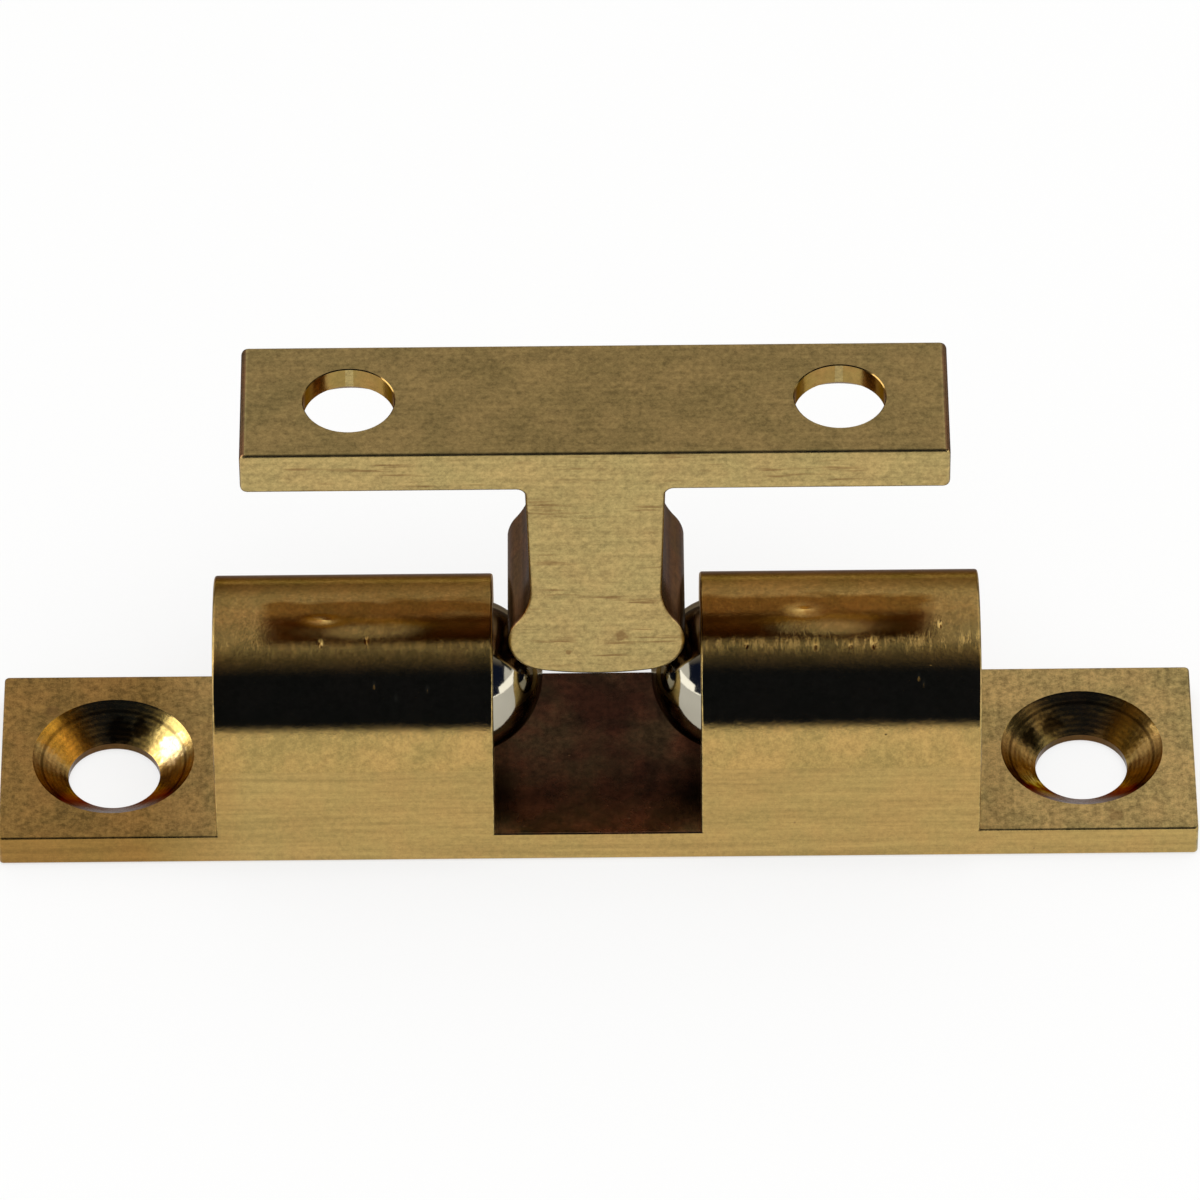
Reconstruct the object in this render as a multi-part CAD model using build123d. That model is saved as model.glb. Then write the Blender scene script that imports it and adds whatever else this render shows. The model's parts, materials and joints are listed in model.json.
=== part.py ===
from build123d import *
from math import sqrt
import os

# Adjustable double ball catch for a cupboard door, in millimetres.
# The body lies on Z = 0 with its length along X and its width along Y.
# The strike stands on the two balls, over the slot in the middle of the body.

# Catch body: one length of arch-section brass bar
body_length = 50.0
body_width = 9.7
body_height = 10.05
flange_thickness = 1.5
barrel_length = 11.6
slot_width = 8.6
flange_corner_radius = 0.2
body_edge_radius = 0.12

# Screw holes in the flanges, countersunk from above
body_hole_spacing = 40.6
body_hole_diameter = 3.85
body_sink_diameter = 6.7
body_sink_land = 0.35

# Balls, and the bores that they run in
ball_diameter = 6.5
ball_gap = 4.5
ball_clearance = 0.04

# Adjusting screws in the threaded outer ends of the bores
screw_diameter = 6.9
screw_length = 2.8
screw_recess = 0.4
screw_slot_width = 0.9
screw_slot_depth = 0.9
screw_chamfer = 0.3
thread_length = 5.2
thread_clearance = 0.04
thread_mouth_chamfer = 0.2

# Metal left over the thread at the crown of the arch, which sets how high the balls' axis lies
crown_wall = 0.51

# Springs between the balls and the adjusting screws
spring_outer_diameter = 5.8
spring_wire_diameter = 0.7
spring_turns = 3.0
spring_clearance = 0.02

# Strike: one slice of a brass T section
strike_length = 29.0
strike_depth = 6.6
strike_height = 12.55
strike_plate_thickness = 2.1
strike_corner_radius = 0.3
strike_edge_break = 0.12
neck_width = 5.45
neck_root_width = 5.75
neck_root_radius = 0.35
foot_width = 7.35
foot_bulb_radius = 1.7
foot_sole_radius = 14.0
foot_flare_radius = 3.0

# Screw holes in the strike's plate, countersunk from the neck's side
strike_hole_spacing = 20.1
strike_hole_diameter = 3.75
strike_sink_diameter = 6.0
strike_sink_land = 0.95

# How the strike stands on the balls: a hair above them, its back face in line with the body's
strike_seat_clearance = 0.02
strike_back_inset = 0.0

# How near two places count as the same when edges are picked
same = 0.01

# Places that follow from the sizes above
barrel_inner = slot_width / 2
barrel_outer = barrel_inner + barrel_length
ball_radius = ball_diameter / 2
ball_place = ball_gap / 2 + ball_radius
bore_radius = ball_radius + ball_clearance
thread_radius = screw_diameter / 2 + thread_clearance
ball_axis_height = body_height - crown_wall - thread_radius
screw_outer_face = barrel_outer - screw_recess
screw_inner_face = screw_outer_face - screw_length
spring_mean_radius = (spring_outer_diameter - spring_wire_diameter) / 2
spring_inner_radius = spring_mean_radius - spring_wire_diameter / 2
spring_ball_end = ball_place + sqrt(ball_radius**2 - spring_inner_radius**2) + spring_clearance
spring_screw_end = screw_inner_face - spring_clearance
bulb_place = foot_width / 2 - foot_bulb_radius
bulb_height = foot_sole_radius - sqrt((foot_sole_radius - foot_bulb_radius) ** 2 - bulb_place**2)
seat_reach = ball_radius + foot_bulb_radius + strike_seat_clearance
strike_base = ball_axis_height + sqrt(seat_reach**2 - (ball_place - bulb_place) ** 2) - bulb_height
strike_place = body_width / 2 - strike_depth / 2 - strike_back_inset


def along_x(x, height):
    """A plane square to X whose own Z axis points outwards along +X."""
    return Plane(origin=(x, 0, height), x_dir=(0, 1, 0), z_dir=(1, 0, 0))


def screw_hole(hole_diameter, sink_diameter, land, plate):
    """Cuts down through a plate whose upper face is at Z = 0: a countersink, then a plain land."""
    hole = Cylinder(hole_diameter / 2, 4 * plate)
    below = (Align.CENTER, Align.CENTER, Align.MAX)
    sink = Cone(hole_diameter / 2, sink_diameter / 2, plate - land, align=below)
    above = (Align.CENTER, Align.CENTER, Align.MIN)
    mouth = Cylinder(sink_diameter / 2, plate, align=above)
    return hole + sink + mouth


def body_section():
    """The bar's end view: straight sides flush with the base, and a round top."""
    arch_radius = body_width / 2
    arch_centre = body_height - arch_radius
    sides = Rectangle(body_width, arch_centre, align=(Align.CENTER, Align.MIN))
    return sides + Pos(0, arch_centre) * Circle(arch_radius)


def milled_bar():
    """The bar with its two ends and its middle milled down to the flange."""
    bar = extrude(along_x(0, 0) * body_section(), amount=body_length / 2, both=True)
    above = body_height - flange_thickness
    low = (Align.CENTER, Align.CENTER, Align.MIN)
    bar -= Pos(0, 0, flange_thickness) * Box(slot_width, 2 * body_width, 2 * above, align=low)
    end_length = body_length / 2 - barrel_outer
    for side in (-1, 1):
        middle = side * (barrel_outer + end_length)
        cutter = Box(2 * end_length, 2 * body_width, 2 * above, align=low)
        bar -= Pos(middle, 0, flange_thickness) * cutter
    return bar


def on_barrel_end(edge):
    reach = abs(edge.center().X)
    return abs(reach - barrel_inner) < same or abs(reach - barrel_outer) < same


def on_flange_face(edge):
    height = edge.center().Z
    return abs(height - flange_thickness) < same or abs(height) < same


def soften_bar(bar):
    """Rounds the flanges' corners, then takes the sharpness off the outer edges."""
    upright = bar.edges().filter_by(Axis.Z)
    corners = upright.filter_by(lambda e: abs(e.center().X) > barrel_outer + same)
    bar = fillet(corners, flange_corner_radius)
    rims = bar.edges().filter_by(lambda e: on_barrel_end(e) and e.center().Z > flange_thickness + same)
    lips = bar.edges().filter_by(lambda e: not on_barrel_end(e) and on_flange_face(e))
    return fillet(rims + lips, body_edge_radius)


def cartridge_bore():
    """The right-hand bore: a ball seat with a narrow lip at the slot, a bore and a thread."""
    middle = Pos(ball_place, 0, ball_axis_height)
    seat = middle * Sphere(bore_radius)
    outwards = (Align.CENTER, Align.CENTER, Align.MIN)
    bore = along_x(ball_place, ball_axis_height) * Cylinder(bore_radius, barrel_length, align=outwards)
    start = along_x(barrel_outer - thread_length, ball_axis_height)
    thread = start * Cylinder(thread_radius, barrel_length, align=outwards)
    mouth_radius = thread_radius + thread_mouth_chamfer
    inwards = (Align.CENTER, Align.CENTER, Align.MAX)
    mouth = Cone(thread_radius, mouth_radius, thread_mouth_chamfer, align=inwards)
    return seat + bore + thread + along_x(barrel_outer, ball_axis_height) * mouth


def catch_body():
    body = soften_bar(milled_bar())
    hole = screw_hole(body_hole_diameter, body_sink_diameter, body_sink_land, flange_thickness)
    for side in (-1, 1):
        body -= Pos(side * body_hole_spacing / 2, 0, flange_thickness) * hole
    bore = cartridge_bore()
    return body - bore - Rot(Z=180) * bore


def ball():
    return Pos(ball_place, 0, ball_axis_height) * Sphere(ball_radius)


def spring():
    """A compression spring with both ends ground flat: one on the ball, one on the screw."""
    length = spring_screw_end - spring_ball_end
    coil_line = Helix(length / spring_turns, length, spring_mean_radius)
    start = Plane(origin=coil_line @ 0, z_dir=coil_line % 0)
    coil = sweep(start * Circle(spring_wire_diameter / 2), path=coil_line, is_frenet=True)
    grind = Cylinder(spring_outer_diameter, length, align=(Align.CENTER, Align.CENTER, Align.MIN))
    return along_x(spring_ball_end, ball_axis_height).location * (coil & grind)


def adjusting_screw():
    """A headless screw: slotted across its outer face, chamfered where it enters the thread."""
    inwards = (Align.CENTER, Align.CENTER, Align.MAX)
    plug = Cylinder(screw_diameter / 2, screw_length, align=inwards)
    plug = chamfer(plug.edges().filter_by(GeomType.CIRCLE), screw_chamfer)
    plug -= Box(screw_slot_width, 2 * screw_diameter, 2 * screw_slot_depth)
    return along_x(screw_outer_face, ball_axis_height).location * plug


def meeting_point(centre, radius, other_centre):
    """The point of a circle that lies on the line through its centre and another circle's centre."""
    towards = (other_centre - centre).normalized()
    return centre + towards * radius


def strike_outline():
    """Front view of the T from its foot up: sole, bulb, flare, neck, root fillet and plate."""
    bulb = Vector(bulb_place, bulb_height)
    sole_centre = Vector(0, foot_sole_radius)
    plate_under = strike_height - strike_plate_thickness
    waist = neck_width / 2
    flare_x = waist + foot_flare_radius
    flare_rise = sqrt((foot_bulb_radius + foot_flare_radius) ** 2 - (flare_x - bulb.X) ** 2)
    flare_centre = Vector(flare_x, bulb.Y + flare_rise)
    sole_end = meeting_point(sole_centre, foot_sole_radius, bulb)
    flare_start = meeting_point(bulb, foot_bulb_radius, flare_centre)
    waist_point = Vector(waist, flare_centre.Y)
    root = Vector(neck_root_width / 2, plate_under)
    end = strike_length / 2
    sole = RadiusArc(Vector(0, 0), sole_end, -foot_sole_radius)
    curve = RadiusArc(sole_end, flare_start, -foot_bulb_radius)
    flare = RadiusArc(flare_start, waist_point, foot_flare_radius)
    straight = Polyline(waist_point, root, (end, plate_under), (end, strike_height), (0, strike_height))
    half = make_face([sole, curve, flare, straight, Line((0, strike_height), (0, 0))])
    section = half + mirror(half, about=Plane.YZ)
    roots = section.vertices().filter_by(lambda v: abs(abs(v.X) - root.X) < same)
    section = fillet(roots, neck_root_radius)
    corners = section.vertices().filter_by(lambda v: abs(abs(v.X) - end) < same)
    return fillet(corners, strike_corner_radius)


def strike():
    outline = Plane.XZ * strike_outline()
    solid = extrude(outline, amount=strike_depth / 2, both=True)
    cut_faces = solid.faces().filter_by(Axis.Y)
    solid = chamfer(cut_faces.edges(), strike_edge_break)
    hole = screw_hole(
        strike_hole_diameter, strike_sink_diameter, strike_sink_land, strike_plate_thickness
    )
    under = strike_height - strike_plate_thickness
    for side in (-1, 1):
        solid -= Pos(side * strike_hole_spacing / 2, 0, under) * Rot(X=180) * hole
    return Pos(0, strike_place, strike_base) * solid


os.makedirs("parts", exist_ok=True)
export_step(catch_body(), "parts/body.step")
export_step(strike(), "parts/strike.step")
for name, shape in (("ball", ball()), ("spring", spring()), ("adjuster", adjusting_screw())):
    export_step(shape, f"parts/{name}_right.step")
    export_step(Rot(Z=180) * shape, f"parts/{name}_left.step")
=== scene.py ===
# %% [markdown]
# # A brass ball catch for a cupboard door
# The catch body is one milled brass bar that holds two sprung steel balls. The strike is one slice
# of a brass T section, and its round foot snaps in between the balls. Every piece is built in metres
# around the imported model, so this first cell loads that model and keeps its box.

# %% Load the frame
import json
import math

import bmesh
import bpy
from mathutils import Matrix, Quaternion, Vector


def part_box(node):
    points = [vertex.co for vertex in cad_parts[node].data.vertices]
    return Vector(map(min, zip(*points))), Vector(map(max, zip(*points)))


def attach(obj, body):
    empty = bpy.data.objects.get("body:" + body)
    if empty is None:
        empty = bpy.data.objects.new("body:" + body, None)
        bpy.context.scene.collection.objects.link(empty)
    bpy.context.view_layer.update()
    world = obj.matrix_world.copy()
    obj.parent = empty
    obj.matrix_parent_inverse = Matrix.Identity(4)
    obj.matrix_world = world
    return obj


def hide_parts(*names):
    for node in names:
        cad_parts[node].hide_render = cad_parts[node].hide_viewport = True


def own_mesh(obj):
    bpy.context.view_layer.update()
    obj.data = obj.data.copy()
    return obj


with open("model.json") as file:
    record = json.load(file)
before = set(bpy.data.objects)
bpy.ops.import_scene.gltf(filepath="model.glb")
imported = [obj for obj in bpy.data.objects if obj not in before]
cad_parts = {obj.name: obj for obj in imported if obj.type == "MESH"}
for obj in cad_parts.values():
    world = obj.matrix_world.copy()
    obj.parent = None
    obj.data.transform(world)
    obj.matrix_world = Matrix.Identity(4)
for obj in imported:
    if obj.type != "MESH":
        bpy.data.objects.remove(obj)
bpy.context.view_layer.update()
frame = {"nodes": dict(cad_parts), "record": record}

mm = 0.001
X, Y, Z = Vector((1, 0, 0)), Vector((0, 1, 0)), Vector((0, 0, 1))

# %% [markdown]
# ## The camera
# A small part is photographed from far off with a long lens, so that its sides stay nearly parallel.
# The camera looks down at 44 degrees and is turned half a degree about its own axis, as hand-held
# cameras are. It could also be placed by eye, but a line of sight, a distance and a lens are easier
# to read and to change.

# %% Aim the camera
aim = Vector((0.16, 0, 10.3)) * mm
look_down = math.radians(43.71)
distance = 483.3 * mm
roll = math.radians(-0.52)

sight = Vector((0, math.cos(look_down), -math.sin(look_down)))
camera = bpy.data.objects.new("camera", bpy.data.cameras.new("camera"))
bpy.context.collection.objects.link(camera)
camera.data.lens = 350.2
camera.data.sensor_width = 36
camera.data.clip_start = 0.01
camera.data.clip_end = 20
camera.location = aim - sight * distance
camera.rotation_mode = "QUATERNION"
camera.rotation_quaternion = sight.to_track_quat("-Z", "Y") @ Quaternion(Z, roll)
bpy.context.scene.camera = camera
print("camera at", [round(c, 4) for c in camera.location])

# %% [markdown]
# ## Tools for the bench
# The meshes are made with a handful of moves: round an edge, turn a wall about an axis, open a flat
# face round a hole. Each is a short function here, because every piece needs them. Two values set
# how near two points are when they count as one, and how squarely a face must look along an axis.

# %% Mesh tools
near = 0.001 * mm
squarely = 0.999


def rounded(bm, edges, radius, segments=3, clamp=True):
    """Rounds the edges to an arc of this radius."""
    bmesh.ops.bevel(
        bm, geom=edges, offset=radius, offset_type="OFFSET", segments=segments, profile=0.5,
        affect="EDGES", material=-1, clamp_overlap=clamp,
    )
    bm.normal_update()


def everything(bm):
    """The whole mesh, as the operators want it."""
    return bm.verts[:] + bm.edges[:] + bm.faces[:]


def cut(bm, point, normal, clear=False):
    """Cuts the mesh along a plane, and takes away what lies beyond it if asked."""
    bmesh.ops.bisect_plane(
        bm, geom=everything(bm), dist=near, plane_co=point, plane_no=normal, clear_outer=clear
    )


def raised(bm, face, move):
    """Pulls a face out of its solid."""
    made = bmesh.ops.extrude_face_region(bm, geom=[face])["geom"]
    bmesh.ops.delete(bm, geom=[face], context="FACES_ONLY")
    bmesh.ops.translate(bm, verts=[g for g in made if isinstance(g, bmesh.types.BMVert)], vec=move)
    bm.normal_update()


def turned(bm, profile, centre, axis, steps=72):
    """Turns a wall about an axis. The profile is a list of (place along the axis, radius)."""
    across = axis.orthogonal().normalized()
    verts = [bm.verts.new(centre + axis * along + across * radius) for along, radius in profile]
    edges = [bm.edges.new(pair) for pair in zip(verts, verts[1:])]
    bmesh.ops.spin(
        bm, geom=verts + edges, cent=centre, axis=axis, angle=2 * math.pi, steps=steps, use_merge=True
    )
    ends = profile[0], profile[-1]
    return [rim(bm, centre, axis, along, radius) for along, radius in ends]


def rim(bm, centre, axis, along, radius):
    """The edges of the circle of this radius that lies this far along the axis."""

    def lies_on_it(vert):
        arm = vert.co - centre
        depth = arm.dot(axis)
        return abs(depth - along) < near and abs((arm - axis * depth).length - radius) < near

    return [e for e in bm.edges if lies_on_it(e.verts[0]) and lies_on_it(e.verts[1])]


def opened(bm, face, circle):
    """Replaces a flat face by one with a round opening."""
    normal = face.normal.copy()
    edges = list(face.edges) + circle
    bmesh.ops.delete(bm, geom=[face], context="FACES_ONLY")
    bmesh.ops.triangle_fill(bm, edges=edges, use_beauty=True, normal=normal)
    bm.normal_update()


def halved(bm, face):
    """Splits a flat face at the middle of the catch, so that each half has one opening."""
    part = [face, *face.edges, *face.verts]
    bmesh.ops.bisect_plane(bm, geom=part, dist=near, plane_co=(0, 0, 0), plane_no=X)
    bm.normal_update()


def flat_face(bm, normal, place):
    """The largest flat face that looks this way, with its middle where place says."""
    found = [f for f in bm.faces if f.normal.dot(normal) > squarely and place(f.calc_center_median())]
    return max(found, key=lambda f: f.calc_area())


def half_turn(bm):
    """Turns a right-hand piece round to the left."""
    bmesh.ops.rotate(bm, verts=bm.verts, cent=(0, 0, 0), matrix=Matrix.Rotation(math.pi, 3, "Z"))


def finished(name, bm, materials, body, finish_of=None, sharp=35):
    """Closes the shape, gives each face its finish and lets the piece ride on its body."""
    bmesh.ops.remove_doubles(bm, verts=bm.verts, dist=near / 10)
    bmesh.ops.recalc_face_normals(bm, faces=bm.faces)
    for face in bm.faces:
        face.smooth = True
        face.material_index = finish_of(face) if finish_of else 0
    mesh = bpy.data.meshes.new(name)
    open_edges = sum(not e.is_manifold for e in bm.edges)
    print(f"{name}: {len(bm.faces)} faces, {open_edges} open edges, {bm.calc_volume() / mm**3:.1f} mm3")
    bm.to_mesh(mesh)
    bm.free()
    mesh.set_sharp_from_angle(angle=math.radians(sharp))
    for material in materials:
        mesh.materials.append(material)
    piece = bpy.data.objects.new(name, mesh)
    bpy.context.collection.objects.link(piece)
    weighted = piece.modifiers.new("flat faces shade flat", "WEIGHTED_NORMAL")
    weighted.keep_sharp = True
    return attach(piece, body)


print("places nearer than", near / mm, "mm count as one")

# %% [markdown]
# ## Sizes
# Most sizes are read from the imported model: each node's box, and the screw holes in the record.
# What the boxes can't tell, such as the thickness of a flange, is named here.

# %% Sizes of the catch
def span(node):
    """A node's lowest corner, highest corner and middle."""
    low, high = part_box(node)
    return low, high, (low + high) / 2


def screw_holes(name):
    """Half the spacing and the radius of a pair of screw holes."""
    mount = next(m for m in frame["record"]["mounts"] if m["name"] == name)
    return mount["dims"]["spacing_x_mm"] / 2 * mm, mount["dims"]["hole_r_mm"] * mm


body_low, body_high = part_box("body")
strike_low, strike_high, strike_middle = span("strike")
ball_low, ball_high, ball_middle = span("ball_right")
screw_low, screw_high, screw_middle = span("adjuster_right")
spring_low, spring_high, spring_middle = span("spring_right")

body_length = body_high.x - body_low.x
body_width = body_high.y - body_low.y
ball_radius = (ball_high.x - ball_low.x) / 2
axis_height = ball_middle.z
flange_hole_place, flange_hole_radius = screw_holes("body_screws")
strike_hole_place, strike_hole_radius = screw_holes("strike_screws")

arch_top = 10.05 * mm
flange_thickness = 1.5 * mm
barrel_inner = 4.3 * mm
barrel_outer = 15.9 * mm
flange_corner = 0.2 * mm
edge_radius = 0.12 * mm
rim_radius = 0.04 * mm
sink_radius = 3.35 * mm
sink_land = 0.35 * mm
bore_radius = 3.29 * mm
thread_radius = 3.49 * mm
thread_start = 10.7 * mm
thread_pitch = 0.5 * mm
thread_depth = 0.2 * mm
print("body", round(body_length / mm, 2), "by", round(body_width / mm, 2), "mm")
print("ball radius", round(ball_radius / mm, 3), "mm")

# %% [markdown]
# ## Finishes in brass
# One alloy, but each face shows how it was made. The flat sides come straight from the drawing die,
# the round top is polished, the flanges are milled and the countersinks are turned. Painted pictures
# could show all this, but patterns worked out from the object's own coordinates stay sharp at any
# distance. Each pattern is a value from 0 to 1, so patterns can be added up into a tone, a height for
# the bump, or a mask that mixes two colours.

# %% Shader tools
def add(tree, kind, inputs=(), **settings):
    """A new node, with its settings and with each input set or linked."""
    node = tree.nodes.new(kind)
    for key, value in settings.items():
        setattr(node, key, value)
    for key, value in dict(inputs).items():
        if isinstance(value, bpy.types.NodeSocket):
            tree.links.new(value, node.inputs[key])
        else:
            node.inputs[key].default_value = value
    return node


def blank_material(name):
    """A material with only its object coordinates, in millimetres."""
    material = bpy.data.materials.new(name)
    material.use_nodes = True
    tree = material.node_tree
    tree.nodes.clear()
    place = add(tree, "ShaderNodeTexCoord").outputs["Object"]
    in_mm = add(tree, "ShaderNodeMapping", {"Vector": place, "Scale": (1 / mm, 1 / mm, 1 / mm)})
    return material, tree, in_mm.outputs["Vector"]


def calc(tree, operation, *values):
    """Arithmetic on patterns."""
    node = add(tree, "ShaderNodeMath", dict(enumerate(values)), operation=operation)
    return node.outputs["Value"]


def remap(tree, value, low, high, to_low=0.0, to_high=1.0):
    """Stretches the part of a pattern between low and high."""
    limits = {"Value": value, "From Min": low, "From Max": high, "To Min": to_low, "To Max": to_high}
    return add(tree, "ShaderNodeMapRange", limits).outputs["Result"]


def summed(tree, *parts):
    """Adds up patterns, each given with its weight."""
    total = calc(tree, "MULTIPLY", *parts[0])
    for pattern, weight in parts[1:]:
        total = calc(tree, "MULTIPLY_ADD", pattern, weight, total)
    return total


def mixed(tree, share, first, second):
    """Mixes two colours by a mask."""
    sockets = {0: share, 6: first, 7: second}
    return add(tree, "ShaderNodeMix", sockets, data_type="RGBA").outputs[2]


def dimmed(tree, colour, factor):
    """Multiplies a colour by a pattern."""
    made = add(tree, "ShaderNodeVectorMath", {0: colour, "Scale": factor}, operation="SCALE")
    return made.outputs["Vector"]


def tinted(colour, red, green, blue):
    """A colour with each of its parts made stronger or weaker."""
    return (colour[0] * red, colour[1] * green, colour[2] * blue, 1)


def filtered(tree, colour, red, green, blue):
    """The same for a colour that is worked out on the tree."""
    made = add(tree, "ShaderNodeVectorMath", {0: colour, 1: (red, green, blue)}, operation="MULTIPLY")
    return made.outputs["Vector"]


def split(tree, place):
    """The three coordinates of a place."""
    return add(tree, "ShaderNodeSeparateXYZ", {"Vector": place}).outputs


def away(tree, place, centre=(0, 0, 0)):
    """How far a place lies from a centre."""
    arm = add(tree, "ShaderNodeVectorMath", {0: place, 1: centre}, operation="DISTANCE")
    return arm.outputs["Value"]


def metal(tree, paint, roughness, rim_tint, height, strength, relief):
    """Wires up a metal surface: its paint, its gloss, the tint of its rim and its bump."""
    bump = add(tree, "ShaderNodeBump", {"Strength": strength, "Distance": relief, "Height": height})
    shader = add(
        tree, "ShaderNodeBsdfPrincipled",
        {
            "Base Color": paint, "Metallic": 1.0, "Roughness": roughness, "Specular Tint": rim_tint,
            "Normal": bump.outputs["Normal"],
        },
    )
    add(tree, "ShaderNodeOutputMaterial", {"Surface": shader.outputs["BSDF"]})


print("patterns are drawn in units of", mm, "m")

# %% [markdown]
# ### Patterns
# Noise gives clouds and grain, and stretched a long way along one axis it gives the lines that a tool
# leaves. Cells with a dot in a few of them give pits. Rings about the axis of a hole are turning marks.
# A spot about one place is a drip, a knock, a painted highlight or a painted dark reflection, and its
# place in millimetres can be read off the real part with a ruler. A painted mask could hold such spots
# too, but a list of places is easier to change.

# %% Clouds, lines and pits
def noise(tree, place, scale, stretch=(1, 1, 1), detail=2.0, roughness=0.5, turn=(0, 0, 0)):
    """Cloudy noise with so many lumps a millimetre, turned and then stretched along the axes."""
    turned_place = add(tree, "ShaderNodeMapping", {"Vector": place, "Rotation": turn})
    stretched = add(
        tree, "ShaderNodeMapping", {"Vector": turned_place.outputs["Vector"], "Scale": stretch}
    )
    made = add(
        tree, "ShaderNodeTexNoise",
        {
            "Vector": stretched.outputs["Vector"], "Scale": scale, "Detail": detail,
            "Roughness": roughness,
        },
    )
    return made.outputs["Fac"]


def pitted(tree, place, cells, radius, share):
    """Small round pits: so many cells a millimetre, of which a share holds a pit."""
    made = add(tree, "ShaderNodeTexVoronoi", {"Vector": place, "Scale": cells})
    pit = remap(tree, made.outputs["Distance"], radius * cells, 0.4 * radius * cells)
    lot = add(tree, "ShaderNodeSeparateColor", {"Color": made.outputs["Color"]}).outputs["Red"]
    return calc(tree, "MULTIPLY", pit, calc(tree, "LESS_THAN", lot, share))


def from_axis(tree, place, hole_x, hole_y):
    """How far out and across a place lies from the axis of the hole on its side."""
    part = split(tree, place)
    out = calc(tree, "SUBTRACT", calc(tree, "ABSOLUTE", part["X"]), hole_x)
    across = calc(tree, "SUBTRACT", part["Y"], hole_y)
    return add(tree, "ShaderNodeCombineXYZ", {"X": out, "Y": across}).outputs["Vector"]


def rings(tree, place, hole_x, hole_y):
    """Turning marks: fine rings about the axis of the hole on either side."""
    wave = add(
        tree, "ShaderNodeTexWave",
        {
            "Vector": from_axis(tree, place, hole_x, hole_y), "Scale": 1.7, "Distortion": 2.5,
            "Detail": 3.0,
        },
        wave_type="RINGS", rings_direction="Z",
    )
    return remap(tree, wave.outputs["Fac"], 0.0, 1.0, 0.42, 0.58)


coarse = 4.0
print("a lump of coarse noise is", 1 / coarse, "mm wide")

# %% Spots
def blot(tree, place, centre, radius):
    """A ragged round spot about one place."""
    ragged = remap(tree, noise(tree, place, 3.0, detail=3.0), 0.3, 0.7, -0.35 * radius, 0.35 * radius)
    reach = calc(tree, "ADD", away(tree, place, centre), ragged)
    return remap(tree, reach, radius, 0.55 * radius)


def several_blots(tree, place, spots, strength):
    """Ragged spots of one strength, each given by its centre and radius."""
    total = 0.0
    for centre, radius in spots:
        total = calc(tree, "MAXIMUM", blot(tree, place, centre, radius), total)
    return calc(tree, "MULTIPLY", total, strength)


def spot(tree, place, centre, radius, squeeze=(1, 1, 1)):
    """A soft spot, 1 at its centre and 0 at its rim, drawn out along the axes that are squeezed."""
    squeezed = filtered(tree, place, *squeeze)
    centre = tuple(c * k for c, k in zip(centre, squeeze))
    return remap(tree, away(tree, squeezed, centre), radius, 0.0)


def dented(tree, place, centres, radius):
    """Small knocks, drawn out across the bar."""
    total = 0.0
    for centre in centres:
        total = calc(tree, "ADD", spot(tree, place, centre, radius, (1, 0.5, 0.5)), total)
    return total


print("spots and knocks are placed in mm, from the middle of the catch's underside")

# %% [markdown]
# ### One recipe for all the brass
# Every brass face comes from one function, so that all of them are plainly the same alloy. It mixes the
# colour from clouds, grain, stains, ragged spots and masks of painted light and shade, and takes the
# bump from the same patterns, because on real metal a mark that shows can mostly be felt as well.

# %% The brass recipe
brass_colour = (0.44, 0.296, 0.100, 1)
stain_colour = (0.19, 0.098, 0.034, 1)
# This amber paints shade over the left end, and the brown along the crowns of the arches.
amber_brown = (0.245, 0.118, 0.020, 1)
olive_shift = (-0.05, 0.03, -0.02)
red_shift = (0.05, -0.04, -0.08)
pit_cells = 1.6
pit_radius = 0.055
pit_height = -3.0
dent_height = -9.0


def brass(
    name, roughness, colour=brass_colour, drift=0.2, grain=0.5, waves=0.0, marks=None, mark_depth=0.3,
    mark_tone=0.35, hues=1.0, pits=0.10, overlay=None, overlay_tone=amber_brown, blots_and_painted_light=None,
    blot_and_painted_light_tone=stain_colour, dents=None, rim_tint=(1, 1, 1, 1),
):
    """Brass that drifts between olive and red, with grain, tool marks, pits, ragged spots and stains,
    and painted light and shade.

    marks, the overlay mask, the spot mask and dents are functions that draw a pattern on the tree, from
    the place in millimetres. The overlay mask mixes in its own colour, for painted shade, painted
    highlights and a brown crown; the spot mask mixes in its own, for stains, painted glints and painted
    dark reflections. waves is how far the surface is from flat, which bends its reflections, and hues
    is how strongly its colour drifts.
    """
    material, tree, place = blank_material(name)
    clouds = noise(tree, place, 0.5, detail=4.0, roughness=0.6)
    grains = noise(tree, place, 3.5, detail=5.0, roughness=0.9)
    tone = [(grains, 0.7), (clouds, 0.3)]
    height = [(grains, grain)]
    if marks:
        lines = marks(tree, place)
        tone = [(grains, 0.75 - mark_tone / 2), (clouds, 0.25 - mark_tone / 2), (lines, mark_tone)]
        height.append((lines, mark_depth))
    if waves:
        height.append((noise(tree, place, 1.3, detail=2.0), waves))
    if dents:
        height.append((dents(tree, place), dent_height))
    paint = mixed(tree, overlay(tree, place) if overlay else 0.0, colour, overlay_tone)
    olive = filtered(tree, paint, *(1 + hues * shift for shift in olive_shift))
    red = filtered(tree, paint, *(1 + hues * shift for shift in red_shift))
    paint = mixed(tree, remap(tree, clouds, 0.38, 0.62), olive, red)
    paint = dimmed(tree, paint, remap(tree, summed(tree, *tone), 0.4, 0.6, 1 - drift, 1 + drift))
    if blots_and_painted_light:
        paint = mixed(tree, blots_and_painted_light(tree, place), paint, blot_and_painted_light_tone)
    if pits:
        holes = pitted(tree, place, pit_cells, pit_radius, pits)
        paint = mixed(tree, calc(tree, "MULTIPLY", holes, 0.6), paint, stain_colour)
        height.append((holes, pit_height))
    gloss = remap(tree, clouds, 0.3, 0.7, roughness * 0.85, roughness * 1.15)
    metal(tree, paint, gloss, rim_tint, summed(tree, *height), strength=0.25, relief=0.02 * mm)
    return material


print("bare brass", brass_colour[:3], "stained", stain_colour[:3], "amber_tone", amber_brown[:3])
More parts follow.
